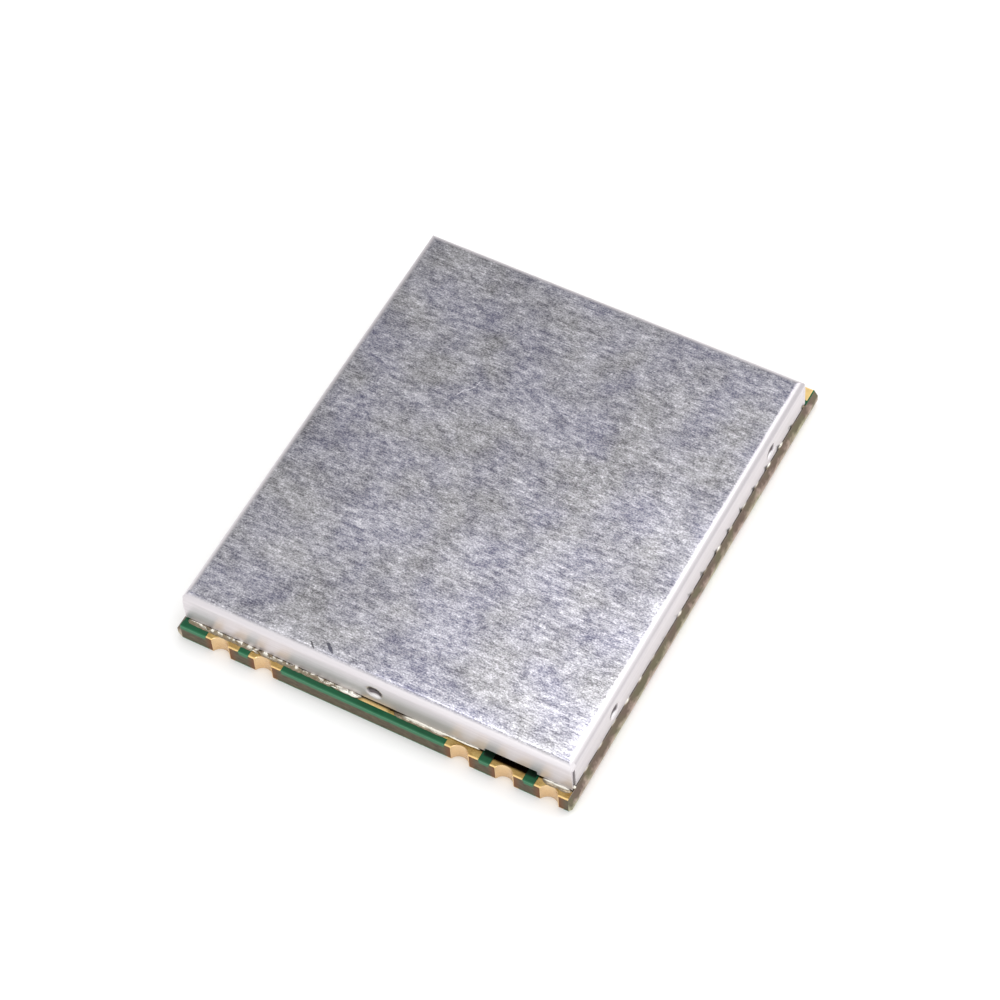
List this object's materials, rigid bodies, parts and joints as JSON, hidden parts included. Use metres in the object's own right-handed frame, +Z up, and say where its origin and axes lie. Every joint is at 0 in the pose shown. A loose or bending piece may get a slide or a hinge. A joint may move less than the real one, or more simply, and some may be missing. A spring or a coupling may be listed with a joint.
{
  "type": "video receiver module",
  "caption": "Small rectangular circuit board with plated half-holes along both short edges and a push-on tinned shield cover, which receives a radio video link for soldering to a carrier board.",
  "frame": {"origin": "under the middle of the board, on the plane that it is soldered down to", "axes": "+X along the front edge with the antenna's half-hole on the +X side, +Y from the front edge to the rear edge, +Z up out of the shield cover"},
  "size_m": [0.023, 0.028, 0.0033],
  "materials": {
    "laminate": "cut glass-fibre laminate, olive brown",
    "solder_mask": "satin green solder mask",
    "gold_plating": "gold-plated copper",
    "tinned_sheet": "bright tin on rolled sheet",
    "solder": "bright reflowed solder",
    "moulding_black": "black moulding compound",
    "tinned_leads": "matt tin",
    "ceramic_pale": "fired pale ceramic",
    "ceramic_dark": "fired dark ceramic",
    "ceramic_tan": "fired tan ceramic"
  },
  "bodies": {
    "root": {"board_core": "laminate", "top_mask": "solder_mask", "bottom_mask": "solder_mask", "ground_land": "gold_plating", "antenna_pad": "gold_plating", "rear_pad_1": "gold_plating", "rear_pad_2": "gold_plating", "rear_pad_3": "gold_plating", "rear_pad_4": "gold_plating", "rear_pad_5": "gold_plating", "rear_pad_6": "gold_plating", "rear_pad_7": "gold_plating", "rear_pad_8": "gold_plating", "rear_pad_9": "gold_plating", "shield_frame": "tinned_sheet", "shield_cover": "tinned_sheet", "shield_solder": "solder", "receiver_chip": "moulding_black", "receiver_leads": "tinned_leads", "if_filter_base": "ceramic_pale", "if_filter_lid": "gold_plating", "crystal_base": "ceramic_dark", "crystal_lid": "tinned_leads", "band_filter": "ceramic_dark", "low_noise_amp_body": "moulding_black", "low_noise_amp_leads": "tinned_leads", "video_amp_body": "moulding_black", "video_amp_leads": "tinned_leads", "regulator_body": "moulding_black", "regulator_leads": "tinned_leads", "chip_capacitors": "ceramic_tan", "chip_resistors": "ceramic_dark", "chip_inductors": "ceramic_dark", "chip_terminals": "tinned_leads"}
  },
  "joints": []
}
